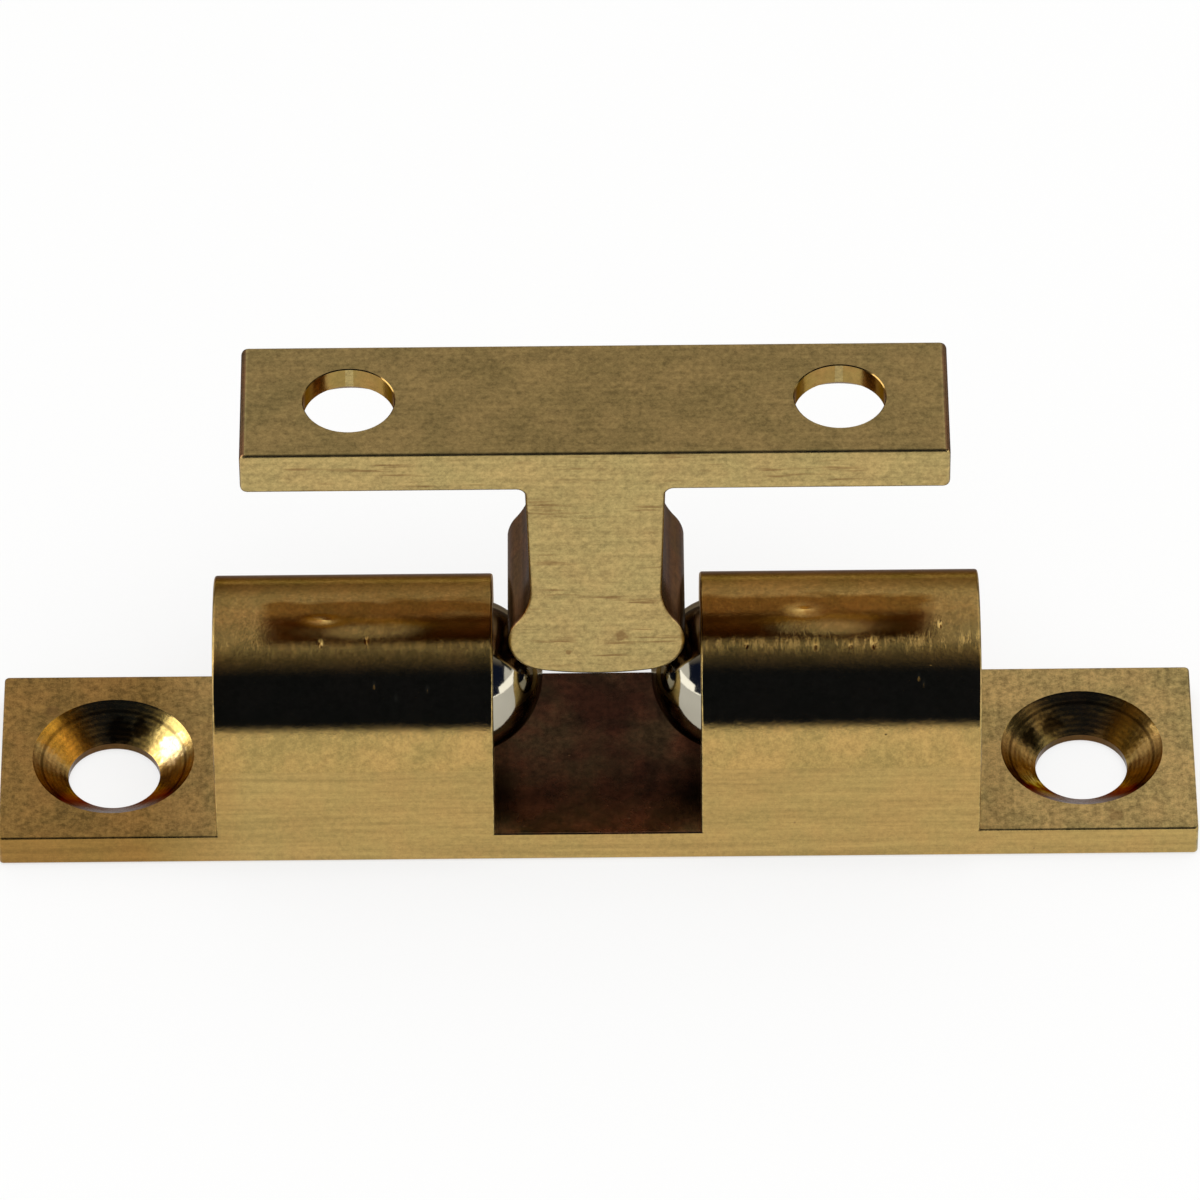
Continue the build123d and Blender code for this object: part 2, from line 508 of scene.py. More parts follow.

# %% [markdown]
# ### Marks, stains and painted shade of this catch
# Every finish below is that recipe with other numbers. What differs is how smooth the tool left the
# face, which way its marks run, where drips have marked it, and where shade is painted into its colour:
# the left end is painted darker and browner than the rest, as painted shade, and the slot's floor is
# painted almost black, as painted shade.

# %% Marks of the tools
def marks_along_x(tree, place):
    """Fine lines along the bar."""
    return noise(tree, place, coarse, stretch=(0.05, 1, 1), detail=3.0, roughness=0.6)


def marks_along_y(tree, place):
    """Fine lines from the front of the bar to its back."""
    return noise(tree, place, coarse, stretch=(1, 0.05, 1), detail=3.0, roughness=0.6)


def saw_marks(tree, place):
    """Level lines from the saw, and fainter ones that lean, from the stone that dressed it."""
    level = noise(tree, place, 3.4, stretch=(0.04, 1, 1), detail=4.0, roughness=0.7)
    lean = (0, math.radians(35), 0)
    leaning = noise(tree, place, coarse, stretch=(0.05, 1, 1), detail=2.0, turn=lean)
    return summed(tree, (level, 0.7), (leaning, 0.3))


def body_sink_rings(tree, place):
    """Turning marks in the body's countersinks."""
    return rings(tree, place, flange_hole_place / mm, 0.0)


def strike_sink_rings(tree, place):
    """Turning marks in the strike's countersinks."""
    return rings(tree, place, strike_hole_place / mm, strike_middle.y / mm)


ring_places = [round(place / mm, 2) for place in (flange_hole_place, strike_hole_place)]
print("turning marks run about the holes at", ring_places, "mm on either side")

# %% Painted shade and drips
shade_start, shade_full = -14.5, -19.0


def left_end_shade(tree, place):
    """Painted shade: the colour turns darker and amber towards the left end."""
    return remap(tree, split(tree, place)["X"], shade_start, shade_full, 0.0, 0.7)


def body_blots(tree, place):
    """A few old drips on the flanges."""
    spots = [((-22.9, 2.7, 1.5), 0.42), ((21.6, -4.0, 1.5), 0.38), ((15.95, -4.7, 1.5), 0.22)]
    return several_blots(tree, place, spots, 0.45)


def slot_shade(tree, place):
    """Painted shade on the slot's floor: none at its front edge, nearly black from its middle to its
    back, in soft patches.
    """
    across = split(tree, place)["Y"]
    thin = remap(tree, across, -4.6, -2.6, 0.0, 0.82)
    thick = remap(tree, across, -2.6, -0.8, 0.0, 0.10)
    patches = remap(tree, noise(tree, place, 0.4, detail=3.0), 0.4, 0.65, -0.12, 0.12)
    return calc(tree, "ADD", calc(tree, "ADD", thin, thick), patches)


print("the left end is stained from", shade_start, "mm and fully from", shade_full, "mm")

# %% Scratches and drips on the sawn front
sawn_front = strike_low.y / mm
thick_bundles = [
    (-1.0, 16.9, 0.7), (2.2, 17.0, 0.4), (2.1, 14.6, 0.4), (1.9, 11.8, 0.4), (-1.6, 8.6, 0.5),
]


def scratches(tree, place):
    """Thin level scratches in bundles, the thickest of them at the top of the neck."""
    lines = remap(tree, noise(tree, place, 6.0, stretch=(0.07, 1, 1), detail=2.0), 0.55, 0.68)
    bundles = remap(tree, noise(tree, place, 0.55, stretch=(0.7, 1, 1), detail=1.0), 0.48, 0.62)
    for x, z, radius in thick_bundles:
        bundle = spot(tree, place, (x, sawn_front, z), radius, (0.45, 1, 1))
        bundles = calc(tree, "MAXIMUM", calc(tree, "MULTIPLY", bundle, 2.0), bundles)
    return calc(tree, "MULTIPLY", lines, calc(tree, "MINIMUM", bundles, 1.0))


def sawn_face_blots(tree, place):
    """Two drips on the front of the strike's foot, and the scratches all over its face."""
    spots = [((1.0, sawn_front, 9.9), 0.36), ((-1.15, sawn_front, 9.0), 0.16)]
    drips = several_blots(tree, place, spots, 0.65)
    return calc(tree, "MAXIMUM", drips, calc(tree, "MULTIPLY", scratches(tree, place), 0.7))


print(len(thick_bundles), "thick bundles of scratches, on the face at y =", round(sawn_front, 2), "mm")

# %% [markdown]
# ### Knocks and painted highlights
# Knocks tell a used part from a new one. On the arches they break a mirror, so each gets a shallow
# hollow, and a brighter colour that is a painted glint. The two soft spots and the strokes along the
# shoulder are painted highlights too, over shallow hollows and fine marks. They could be modelled in
# the mesh, but a knock is a tenth of a millimetre wide, and at that size the bump shows it as well and
# costs no faces.

# %% Knocks and painted highlights on the arches
small_knocks = [
    (6.2, -2.0, 9.62), (10.5, -2.05, 9.6), (14.2, -1.2, 9.9), (-11.4, -1.8, 9.7), (-9.5, -1.7, 9.74),
    (-9.2, -3.3, 8.75), (-8.3, -3.7, 8.33), (-7.0, -3.45, 8.61), (13.3, -3.2, 8.84),
    (13.5, -3.4, 8.66),
]
large_knocks = [(9.06, -2.05, 9.6), (11.46, -2.0, 9.62)]


def arch_highlight_spots(tree, place):
    """A soft spot on each arch: a painted highlight in the colour, and a shallow hollow in the bump."""
    left = spot(tree, place, (-11.35, -0.72, 10.0), 0.5, (0.4, 1, 1))
    right = spot(tree, place, (8.63, -0.4, 10.04), 0.6, (0.5, 1, 1))
    return calc(tree, "POWER", calc(tree, "MAXIMUM", left, right), 2.0)


def arch_strokes(tree, place):
    """Short strokes across the bar along the arches' shoulder, more of them to the right: fine marks,
    painted bright as glints.
    """
    part = split(tree, place)
    shoulder = calc(
        tree, "MULTIPLY", remap(tree, part["Y"], -2.5, -1.9), remap(tree, part["Y"], -1.4, -1.9)
    )
    share = calc(tree, "MULTIPLY", shoulder, remap(tree, part["X"], -9, 9, 0.3, 1))
    lines = noise(tree, place, coarse, stretch=(1, 0.3, 0.3), detail=3.0, roughness=0.7)
    return calc(tree, "MULTIPLY", remap(tree, lines, 0.47, 0.62), share)


def arch_knocks(tree, place):
    """Small knocks that catch the light, two of them larger, on the right arch: hollows in the bump,
    painted glints in the colour.
    """
    small = dented(tree, place, small_knocks, 0.11)
    return calc(tree, "MAXIMUM", small, dented(tree, place, large_knocks, 0.17))


def arch_marks_and_glints(tree, place):
    """Painted highlights and glints: the soft spots, the strokes and the knocks."""
    marks = calc(tree, "MAXIMUM", arch_strokes(tree, place), arch_knocks(tree, place))
    return calc(tree, "MAXIMUM", arch_highlight_spots(tree, place), marks)


def arch_dents(tree, place):
    """The hollows of the soft spots, the strokes and the knocks."""
    strokes = (arch_strokes(tree, place), 0.12)
    return summed(tree, (arch_highlight_spots(tree, place), 1.2), strokes, (arch_knocks(tree, place), 1.2))


def arch_brown_and_shade(tree, place):
    """Brown along the crown of both arches, short of their outer ends, and painted shade over the left
    end.
    """
    part = split(tree, place)
    streaks = noise(tree, place, 1.6, stretch=(0.25, 1, 1), detail=3.0)
    ragged = remap(tree, streaks, 0.3, 0.7, -0.3, 0.3)
    across = calc(tree, "ADD", part["Y"], ragged)
    crown = calc(tree, "MULTIPLY", remap(tree, across, -1.0, -0.5), remap(tree, across, 0.6, 0.2))
    out = calc(tree, "ADD", calc(tree, "ABSOLUTE", part["X"]), ragged)
    crown = calc(tree, "MULTIPLY", crown, remap(tree, out, 14.1, 13.5, 0.0, 0.9))
    return calc(tree, "MAXIMUM", crown, left_end_shade(tree, place))


print(len(small_knocks), "small knocks and", len(large_knocks), "larger ones on the arches")

# %% Painted highlights and dark reflections in the countersinks
dark_ring_radius = 3.02


def sink_dark_reflections(tree, place):
    """Painted dark reflections: black patches at the back of both countersinks, and a dark ring inside
    each rim.
    """
    spots = [
        ((-20.1, 2.3, 0.7), 0.75), ((-19.3, 2.3, 0.9), 0.5), ((18.2, 1.3, 0.95), 0.55),
        ((19.1, 2.1, 0.85), 0.65),
    ]
    reach = away(tree, from_axis(tree, place, flange_hole_place / mm, 0.0))
    off_dark_ring = calc(tree, "ABSOLUTE", calc(tree, "SUBTRACT", reach, dark_ring_radius))
    painted_dark_ring = remap(tree, off_dark_ring, 0.08, 0.03, 0.0, 0.6)
    return calc(tree, "MAXIMUM", several_blots(tree, place, spots, 0.85), painted_dark_ring)


def sink_highlights(tree, place):
    """Painted highlights: bright patches on the countersinks' walls."""
    spots = [((-17.9, 0.9, 0.9), 0.8), ((18.1, -1.1, 0.9), 0.75), ((18.9, -2.2, 0.9), 0.6)]
    return several_blots(tree, place, spots, 0.9)


print("a groove runs", round(sink_radius / mm - dark_ring_radius, 2), "mm inside each countersink's rim")

# %% [markdown]
# ### The finishes
# Ten calls of the recipe finish the two large pieces. How rough a face is follows from its tool: a
# polished arch has 0.07, a turned countersink 0.16, a drawn side 0.24 and a milled flange 0.32.

# %% The brass finishes
# All five colours below paint light and shade: the first two paint shade into the slot, the third dark
# reflections into the countersinks, the fourth glints and highlights on the arches, and the fifth
# highlights in the countersinks.
slot_shaded_brass = tinted(brass_colour, 0.68, 0.54, 0.88)
slot_shade_colour = tinted(brass_colour, 0.075, 0.055, 0.10)
sink_dark_reflection_colour = tinted(brass_colour, 0.12, 0.09, 0.08)
painted_glint_colour = (1.0, 0.68, 0.22, 1)
sink_highlight_colour = (0.95, 0.75, 0.38, 1)
# The drawn sides are painted darker towards the left end, as painted shade.
drawn = brass(
    "brass_drawn_side", 0.24, drift=0.2, marks=marks_along_x, hues=0.35, overlay=left_end_shade,
    blots_and_painted_light=body_blots,
)
# The arches' colour holds painted highlights and glints, and painted shade over the left end.
polished = brass(
    "brass_polished_arch", 0.07, drift=0.25, grain=1.2, waves=1.2, hues=0.5, pits=0.14,
    overlay=arch_brown_and_shade, blots_and_painted_light=arch_marks_and_glints, blot_and_painted_light_tone=painted_glint_colour, dents=arch_dents,
    rim_tint=(0.35, 0.30, 0.30, 1),
)
# The milled faces are painted darker towards the left end too, as painted shade.
milled = brass(
    "brass_milled", 0.32, colour=tinted(brass_colour, 1.06, 1.15, 1.30), drift=0.5,
    marks=marks_along_y, mark_tone=0.12, hues=0.45, overlay=left_end_shade, blots_and_painted_light=body_blots,
)
# The countersinks' colour holds painted highlights and painted dark reflections over their turning
# marks.
sunk = brass(
    "brass_body_countersink", 0.16, drift=0.3, grain=1.0, waves=5.0, marks=body_sink_rings,
    mark_depth=2.0, overlay=sink_highlights, overlay_tone=sink_highlight_colour, blots_and_painted_light=sink_dark_reflections, blot_and_painted_light_tone=sink_dark_reflection_colour,
    rim_tint=(0.15, 0.08, 0.03, 1),
)
# Painted shade: the bores and the lands under the flange holes are painted nearly black.
bored = brass("brass_bored", 0.28, colour=tinted(brass_colour, 0.22, 0.17, 0.16))
# Painted shade: the slot's floor is painted dark, nearly black from its middle to its back.
slot_floor = brass(
    "brass_slot_floor", 0.26, colour=slot_shaded_brass, marks=marks_along_y, mark_tone=0.1, drift=0.45,
    hues=3.0, overlay=slot_shade, overlay_tone=slot_shade_colour,
)
sawn = brass(
    "brass_sawn_front", 0.30, colour=tinted(brass_colour, 0.99, 1.08, 1.25), drift=0.34, grain=1.5,
    marks=saw_marks, mark_depth=1.0, hues=0.35, blots_and_painted_light=sawn_face_blots,
)
# Darker than the cut faces: the oxide skin of the drawn section, and painted shade on the flanks of the
# neck.
extruded = brass(
    "brass_extruded", 0.25, colour=tinted(brass_colour, 0.52, 0.45, 0.62), drift=0.35,
    marks=marks_along_y, pits=0.05, rim_tint=(0.48, 0.52, 0.60, 1),
)
plate_face = brass(
    "brass_plate_face", 0.34, colour=tinted(brass_colour, 0.78, 0.86, 0.97), drift=0.36,
    marks=marks_along_x, mark_tone=0.15, hues=0.3,
)
strike_sunk = brass(
    "brass_strike_countersink", 0.16, colour=tinted(brass_colour, 0.8, 0.75, 0.7), waves=4.0,
    marks=strike_sink_rings, mark_depth=2.0, rim_tint=(0.5, 0.4, 0.3, 1),
)
body_finishes = [drawn, polished, milled, sunk, bored, slot_floor]
strike_finishes = [extruded, sawn, plate_face, strike_sunk]
print("finishes in one alloy:", [finish.name for finish in body_finishes + strike_finishes])

# %% [markdown]
# ## The catch body
# A length of arch-section bar, milled down to flanges at its ends and to a slot in its middle, then
# bored from both ends. The mesh is made in the same order: a plate, two blocks pulled up from it, one
# wide bevel that rounds each block over into the arch, small bevels on the outer edges, and last the
# holes. Cutting with Boolean modifiers would be shorter, but leaves thin faces that spoil the
# reflections next to every cut.

# %% Mill the bar
sharp_corner = math.radians(40)
nearly_flat = 0.001


def milled_bar():
    """The bar without its holes."""
    bm = bmesh.new()
    bmesh.ops.create_cube(bm, size=1.0)
    bmesh.ops.scale(bm, verts=bm.verts, vec=(body_length, body_width, flange_thickness))
    bmesh.ops.translate(bm, verts=bm.verts, vec=Z * flange_thickness / 2)
    upright = [e for e in bm.edges if abs(e.verts[0].co.z - e.verts[1].co.z) > near]
    rounded(bm, upright, flange_corner, segments=5)
    for place in (-barrel_outer, -barrel_inner, barrel_inner, barrel_outer):
        cut(bm, X * place, X)
    bm.normal_update()
    for side in (-1, 1):
        raise_barrel(bm, side)
    join_flat_sides(bm)
    outer_edges = [e for e in bm.edges if e.is_convex and e.calc_face_angle() > sharp_corner]
    rounded(bm, outer_edges, edge_radius)
    return bm


def raise_barrel(bm, side):
    """Pulls a block up from the plate and rounds its top over into a half circle."""
    foot = flat_face(bm, Z, lambda c: barrel_inner < side * c.x < barrel_outer)
    raised(bm, foot, Z * (arch_top - flange_thickness))
    crown = [
        e for e in bm.edges
        if all(abs(v.co.z - arch_top) < near and v.co.x * side > 0 for v in e.verts)
        and abs(e.verts[0].co.x - e.verts[1].co.x) > near
    ]
    rounded(bm, crown, body_width / 2, segments=32, clamp=False)
    bmesh.ops.remove_doubles(bm, verts=bm.verts, dist=near)
    bm.normal_update()


def join_flat_sides(bm):
    """Takes out the lines that the milling left across the flat front and back."""
    on_side = [e for e in bm.edges if all(abs(abs(v.co.y) - body_width / 2) < near for v in e.verts)]
    flat = [e for e in on_side if e.calc_face_angle() < nearly_flat]
    bmesh.ops.dissolve_edges(bm, edges=flat, use_verts=True)
    bm.normal_update()


bar = milled_bar()
print("the milled bar has", len(bar.faces), "faces")

# %% Drill the flanges
def drill_flanges(bm):
    """Two holes, each with a countersink from above and a short land below it."""
    top, land, end = flange_thickness, sink_land, flange_hole_radius
    profile = [
        (top, sink_radius + rim_radius), (top - rim_radius, sink_radius), (land, end),
        (rim_radius, end), (0, end + rim_radius),
    ]
    halved(bm, flat_face(bm, -Z, lambda c: abs(c.z) < near))
    for side in (-1, 1):
        upper, lower = turned(bm, profile, X * side * flange_hole_place, Z)
        opened(bm, flat_face(bm, Z, lambda c: side * c.x > barrel_outer), upper)
        opened(bm, flat_face(bm, -Z, lambda c: side * c.x > 0 and abs(c.z) < near), lower)


drill_flanges(bar)
print("with its screw holes it has", len(bar.faces), "faces")

# %% Bore the barrels
seat_steps = 8


def bore_profile():
    """From the slot outwards: lip, round ball seat, bore, thread and mouth."""
    lip_angle = math.acos((ball_middle.x - barrel_inner - rim_radius) / bore_radius)
    swing = math.pi / 2 - lip_angle
    angles = [math.pi - lip_angle - swing * i / seat_steps for i in range(seat_steps + 1)]
    seat = [(ball_middle.x + bore_radius * math.cos(a), bore_radius * math.sin(a)) for a in angles]
    lip = [(barrel_inner, seat[0][1] + rim_radius)]
    runout = [(thread_start, bore_radius)]
    turns = round((barrel_outer - thread_start) / thread_pitch) - 1
    thread = []
    for turn in range(turns):
        start = thread_start + turn * thread_pitch
        hollow = (start + thread_pitch / 2, thread_radius + thread_depth)
        thread += [(start + near, thread_radius), hollow]
    last = thread_start + turns * thread_pitch
    mouth = [(last, thread_radius), (barrel_outer, thread_radius + thread_depth)]
    return lip + seat + runout + thread + mouth


def bore_barrels(bm):
    """One bore through each barrel, from its end face to the slot."""

    def on_end_face(place):
        return side * place.x > ball_middle.x and place.z > flange_thickness

    for side in (-1, 1):
        inner, outer = turned(bm, bore_profile(), Z * axis_height, X * side)
        opened(bm, flat_face(bm, -X * side, lambda c: near < side * c.x < ball_middle.x), inner)
        opened(bm, flat_face(bm, X * side, on_end_face), outer)


bore_barrels(bar)
print("with both bores it has", len(bar.faces), "faces")

# %% Give each face of the body its finish
mostly = 0.7


def body_finish(face):
    """0 drawn side, 1 polished arch, 2 milled, 3 turned countersink, 4 bored, 5 slot floor; 4 and 5 are
    painted dark as shade.
    """
    middle, normal = face.calc_center_median(), face.normal
    to_hole = Vector((abs(middle.x) - flange_hole_place, middle.y)).length
    to_bore = Vector((middle.y, middle.z - axis_height)).length
    in_barrels = abs(middle.x) < barrel_outer
    if to_hole < sink_radius + rim_radius and abs(normal.z) < squarely and not in_barrels:
        return 3 if to_hole > flange_hole_radius + rim_radius else 4
    if to_bore < thread_radius + thread_depth and abs(normal.x) < squarely and in_barrels:
        return 4
    if normal.z > mostly and middle.z < flange_thickness + near:
        return 5 if abs(middle.x) < barrel_inner else 2
    if abs(normal.x) > mostly:
        return 2
    if middle.z > arch_top - body_width / 2:
        return 1
    return 0


catch_body = finished("catch_body", bar, body_finishes, "catch", body_finish)
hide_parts("body")

# %% [markdown]
# ## The strike
# One slice of a drawn T section. Its outline is all straights and arcs that run into each other: a
# slightly round sole, a bulb on each side that the balls grip, a hollow flare and the neck. A vertex
# spun about the centre of each arc in turn draws half of it, as a compass would, and a mirror gives
# the other half. The outline is then pulled back to the depth of the slice.

# %% Sizes of the strike
plate_thickness = 2.1 * mm
strike_corner = 0.3 * mm
strike_break = 0.18 * mm
neck_half = 2.725 * mm
root_half = 2.875 * mm
root_radius = 0.35 * mm
foot_half = 3.675 * mm
foot_to_plate_top = 12.55 * mm
bulb_radius = 1.7 * mm
sole_radius = 14.0 * mm
flare_radius = 3.0 * mm
strike_sink_radius = 3.0 * mm
strike_land = 0.95 * mm
strike_under = strike_high.z - plate_thickness

bulb_out = foot_half - bulb_radius
strike_foot = strike_high.z - foot_to_plate_top
sole_centre = Vector((0, 0, strike_foot + sole_radius))
bulb_up = math.sqrt((sole_radius - bulb_radius) ** 2 - bulb_out**2)
bulb_centre = Vector((bulb_out, 0, sole_centre.z - bulb_up))
flare_out = neck_half + flare_radius - bulb_out
flare_up = math.sqrt((bulb_radius + flare_radius) ** 2 - flare_out**2)
flare_centre = bulb_centre + Vector((flare_out, 0, flare_up))
print("neck starts", round((flare_centre.z - strike_foot) / mm, 2), "mm above the sole")

# %% Draw the outline and pull it back
sole_steps, bulb_steps, flare_steps = 8, 18, 10


def compass(bm, vert, centre, angle, steps):
    """Draws an arc from the vertex about a centre, and returns the arc's last vertex."""
    last = bmesh.ops.spin(bm, geom=[vert], cent=centre, axis=Y, angle=angle, steps=steps)["geom_last"]
    return next(g for g in last if isinstance(g, bmesh.types.BMVert))


def straight(bm, vert, x, z):
    """Draws a straight line from the vertex."""
    end = bm.verts.new((x, 0, z))
    bm.edges.new((vert, end))
    return end


def strike_blank():
    """The T with sharp edges and without its holes."""
    bm = bmesh.new()
    lean_in = math.atan2(bulb_out, bulb_up)
    lean_out = math.pi - math.atan2(flare_out, flare_up)
    pen = bm.verts.new((0, 0, strike_foot))
    pen = compass(bm, pen, sole_centre, -lean_in, sole_steps)
    pen = compass(bm, pen, bulb_centre, lean_in - lean_out, bulb_steps)
    pen = compass(bm, pen, flare_centre, lean_out - math.pi / 2, flare_steps)
    half_length, top = strike_high.x, strike_high.z
    for x, z in ((root_half, strike_under), (half_length, strike_under), (half_length, top), (0, top)):
        pen = straight(bm, pen, x, z)
    bmesh.ops.mirror(bm, geom=everything(bm), matrix=Matrix.Identity(4), merge_dist=near, axis="X")
    bmesh.ops.remove_doubles(bm, verts=bm.verts, dist=near)
    bmesh.ops.translate(bm, verts=bm.verts, vec=Y * strike_low.y)
    front = bmesh.ops.edgeloop_fill(bm, edges=bm.edges[:])["faces"]
    made = bmesh.ops.extrude_face_region(bm, geom=front)["geom"]
    moved = [g for g in made if isinstance(g, bmesh.types.BMVert)]
    bmesh.ops.translate(bm, verts=moved, vec=Y * (strike_high.y - strike_low.y))
    bmesh.ops.recalc_face_normals(bm, faces=bm.faces)
    return bm


def across_edges(bm, x, z):
    """The edges that run from front to back at this place of the outline, on both sides."""
    return [
        e for e in bm.edges
        if all(abs(abs(v.co.x) - x) < near and abs(v.co.z - z) < near for v in e.verts)
    ]


blank = strike_blank()
print("the blank has", len(blank.faces), "faces")

# %% Round its corners and edges
def round_strike(bm):
    """Rounds the neck's roots and the plate's corners, then breaks the edges of the cut faces."""
    rounded(bm, across_edges(bm, root_half, strike_under), root_radius, segments=6)
    lower_corners = across_edges(bm, strike_high.x, strike_under)
    upper_corners = across_edges(bm, strike_high.x, strike_high.z)
    rounded(bm, lower_corners + upper_corners, strike_corner, segments=5)
    sides = (strike_low.y, strike_high.y)
    cut_edges = [
        e for e in bm.edges if any(all(abs(v.co.y - y) < near for v in e.verts) for y in sides)
    ]
    rounded(bm, cut_edges, strike_break, segments=3)


round_strike(blank)
print("rounded it has", len(blank.faces), "faces")

# %% Drill the plate
def drill_plate(bm):
    """Two holes, each with a short land at the top and a countersink from below."""
    top, under, end = strike_high.z, strike_under, strike_hole_radius
    profile = [
        (top, end + rim_radius), (top - rim_radius, end), (top - strike_land, end),
        (under + rim_radius, strike_sink_radius), (under, strike_sink_radius + rim_radius),
    ]

    def on_top(place):
        return side * place.x > 0 and abs(place.z - top) < near

    def under_plate(place):
        return side * place.x > neck_half and place.z > flare_centre.z

    halved(bm, flat_face(bm, Z, lambda c: abs(c.z - top) < near))
    for side in (-1, 1):
        centre = Vector((side * strike_hole_place, strike_middle.y, 0))
        upper, lower = turned(bm, profile, centre, Z)
        opened(bm, flat_face(bm, Z, on_top), upper)
        opened(bm, flat_face(bm, -Z, under_plate), lower)


drill_plate(blank)
print("with its screw holes it has", len(blank.faces), "faces")

# %% Give each face of the strike its finish
slightly, nearly = 0.3, 0.9


def strike_finish(face):
    """0 extruded, 1 sawn, 2 plate face, 3 turned countersink."""
    middle, normal = face.calc_center_median(), face.normal
    to_hole = Vector((abs(middle.x) - strike_hole_place, middle.y - strike_middle.y)).length
    near_hole = to_hole < strike_sink_radius + rim_radius
    if near_hole and abs(normal.z) < squarely and abs(normal.y) < squarely:
        return 3
    if abs(normal.y) > slightly:
        return 1
    if normal.z > nearly and middle.z > strike_under:
        return 2
    return 0


strike_piece = finished("strike_t", blank, strike_finishes, "strike", strike_finish)
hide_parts("strike")

# %% [markdown]
# ## The steel balls
# Bearing balls, ground and polished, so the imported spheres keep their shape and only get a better
# surface: a nearly perfect mirror with a few hair-fine marks from sliding on the strike.

# %% Steel
steel_rim = (0.35, 0.33, 0.30, 1)


def steel(name, colour, roughness, grain):
    """Steel with faint clouds and fine scratches."""
    material, tree, place = blank_material(name)
    clouds = noise(tree, place, 0.6, detail=3.0)
    hairs = noise(tree, place, coarse, stretch=(0.2, 1, 1), detail=4.0, roughness=0.7)
    paint = dimmed(tree, colour, remap(tree, clouds, 0.3, 0.7, 0.94, 1.06))
    gloss = remap(tree, hairs, 0.3, 0.75, roughness, roughness * 2.2)
    metal(tree, paint, gloss, steel_rim, hairs, strength=grain, relief=0.01 * mm)
    return material


ball_steel = steel("steel_polished_ball", (0.42, 0.39, 0.31), 0.05, 0.1)
spring_steel = steel("steel_spring_wire", (0.30, 0.29, 0.28), 0.28, 0.4)
for side in ("left", "right"):
    ball = frame["nodes"][f"ball_{side}"]
    ball.data.materials.clear()
    ball.data.materials.append(ball_steel)
    print(ball.name, "has", ball_steel.name)

# %% [markdown]
# ## Springs
# A compression spring with closed ends that are ground flat. Turning a small circle about the bore's
# axis, with a short step along it each time, winds the wire: three quarters of a tight turn at each end
# and the open turns between them. Two cuts then grind the ends. The spring belongs to the body.

# %% Wind the springs
wire_radius = 0.35 * mm
coil_radius = spring_high.y - wire_radius
closed_turns = 0.75
open_turns = 2.25
steps_per_turn = 36
spring_length = spring_high.x - spring_low.x


def wound(bm, section, turns, rise):
    """Winds the section on by so many turns and returns the new end."""
    steps = round(turns * steps_per_turn)
    return bmesh.ops.spin(
        bm, geom=section, cent=spring_middle, axis=X, dvec=X * rise / steps,
        angle=2 * math.pi * turns, steps=steps,
    )["geom_last"]


def spring_shape():
    """The right-hand spring, wound and ground."""
    bm = bmesh.new()
    made = bmesh.ops.create_circle(bm, segments=14, radius=wire_radius)["verts"]
    edges = bm.edges[:]
    start = Vector((spring_low.x, 0, axis_height + coil_radius))
    bmesh.ops.rotate(bm, verts=made, cent=(0, 0, 0), matrix=Matrix.Rotation(math.pi / 2, 3, "X"))
    bmesh.ops.translate(bm, verts=made, vec=start)
    tight = closed_turns * 2 * wire_radius
    section = wound(bm, made + edges, closed_turns, tight)
    section = wound(bm, section, open_turns, spring_length - 2 * tight)
    wound(bm, section, closed_turns, tight)
    cut(bm, X * spring_high.x, X, clear=True)
    cut(bm, X * spring_low.x, -X, clear=True)
    bmesh.ops.holes_fill(bm, edges=[e for e in bm.edges if e.is_boundary], sides=0)
    return bm


for side, name in ((1, "right"), (-1, "left")):
    coil = spring_shape()
    if side < 0:
        half_turn(coil)
    spring = finished(f"spring_{name}_wound", coil, [spring_steel], "catch")
    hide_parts(f"spring_{name}")
    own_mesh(spring)

# %% [markdown]
# ## Adjusting screws
# Headless brass screws with a fine thread and a screwdriver slot. A short V profile is wound along
# the axis like the spring's wire, which gives a true helical thread. Then both ends are cut square,
# and the slot is cut across the outer face. A bump pattern could draw the thread on a plain
# cylinder, but its outline against the bore would stay smooth.

# %% Wind the threads
screw_radius = screw_high.y
core_radius = screw_radius - thread_depth
rod_turns = math.ceil((screw_high.x - screw_low.x) / thread_pitch) + 1


def gap_edges(bm, chosen):
    """The edges of a gap whose ends are both chosen."""
    return [e for e in bm.edges if len(e.link_faces) < 2 and all(chosen(v) for v in e.verts)]


def threaded_rod():
    """A helical thread, cut square and closed at both ends."""
    bm = bmesh.new()
    start = screw_low.x - thread_pitch
    crest, hollow = axis_height + screw_radius, axis_height + core_radius
    profile = [(start, crest), (start + thread_pitch / 2, hollow), (start + thread_pitch, crest)]
    verts = [bm.verts.new((x, 0, z)) for x, z in profile]
    edges = [bm.edges.new(pair) for pair in zip(verts, verts[1:])]
    bmesh.ops.spin(
        bm, geom=verts + edges, cent=screw_middle, axis=X, dvec=X * thread_pitch / steps_per_turn,
        angle=2 * math.pi * rod_turns, steps=rod_turns * steps_per_turn,
    )
    bmesh.ops.remove_doubles(bm, verts=bm.verts, dist=near)
    for end, out in ((screw_high.x, X), (screw_low.x, -X)):
        cut(bm, X * end, out, clear=True)
        loop = gap_edges(bm, lambda vert: abs(vert.co.x - end) < near)
        bmesh.ops.edgeloop_fill(bm, edges=loop)
    return bm


print("each rod is wound with", rod_turns, "turns and then cut to length")

# %% Cut the slot
slot_half = 0.45 * mm
slot_depth = 0.9 * mm
slot_bottom = screw_high.x - slot_depth


def in_slot(place):
    """Whether a face's middle lies in the waste of the slot."""
    return place.x > slot_bottom + near and abs(place.y) < slot_half - near


def on_bottom(vert):
    """Whether a point lies on the slot's bottom."""
    return abs(vert.co.x - slot_bottom) < near


def on_wall(vert, side):
    """Whether a point lies on the slot's wall on this side."""
    return abs(vert.co.y - side * slot_half) < near and vert.co.x > slot_bottom - near


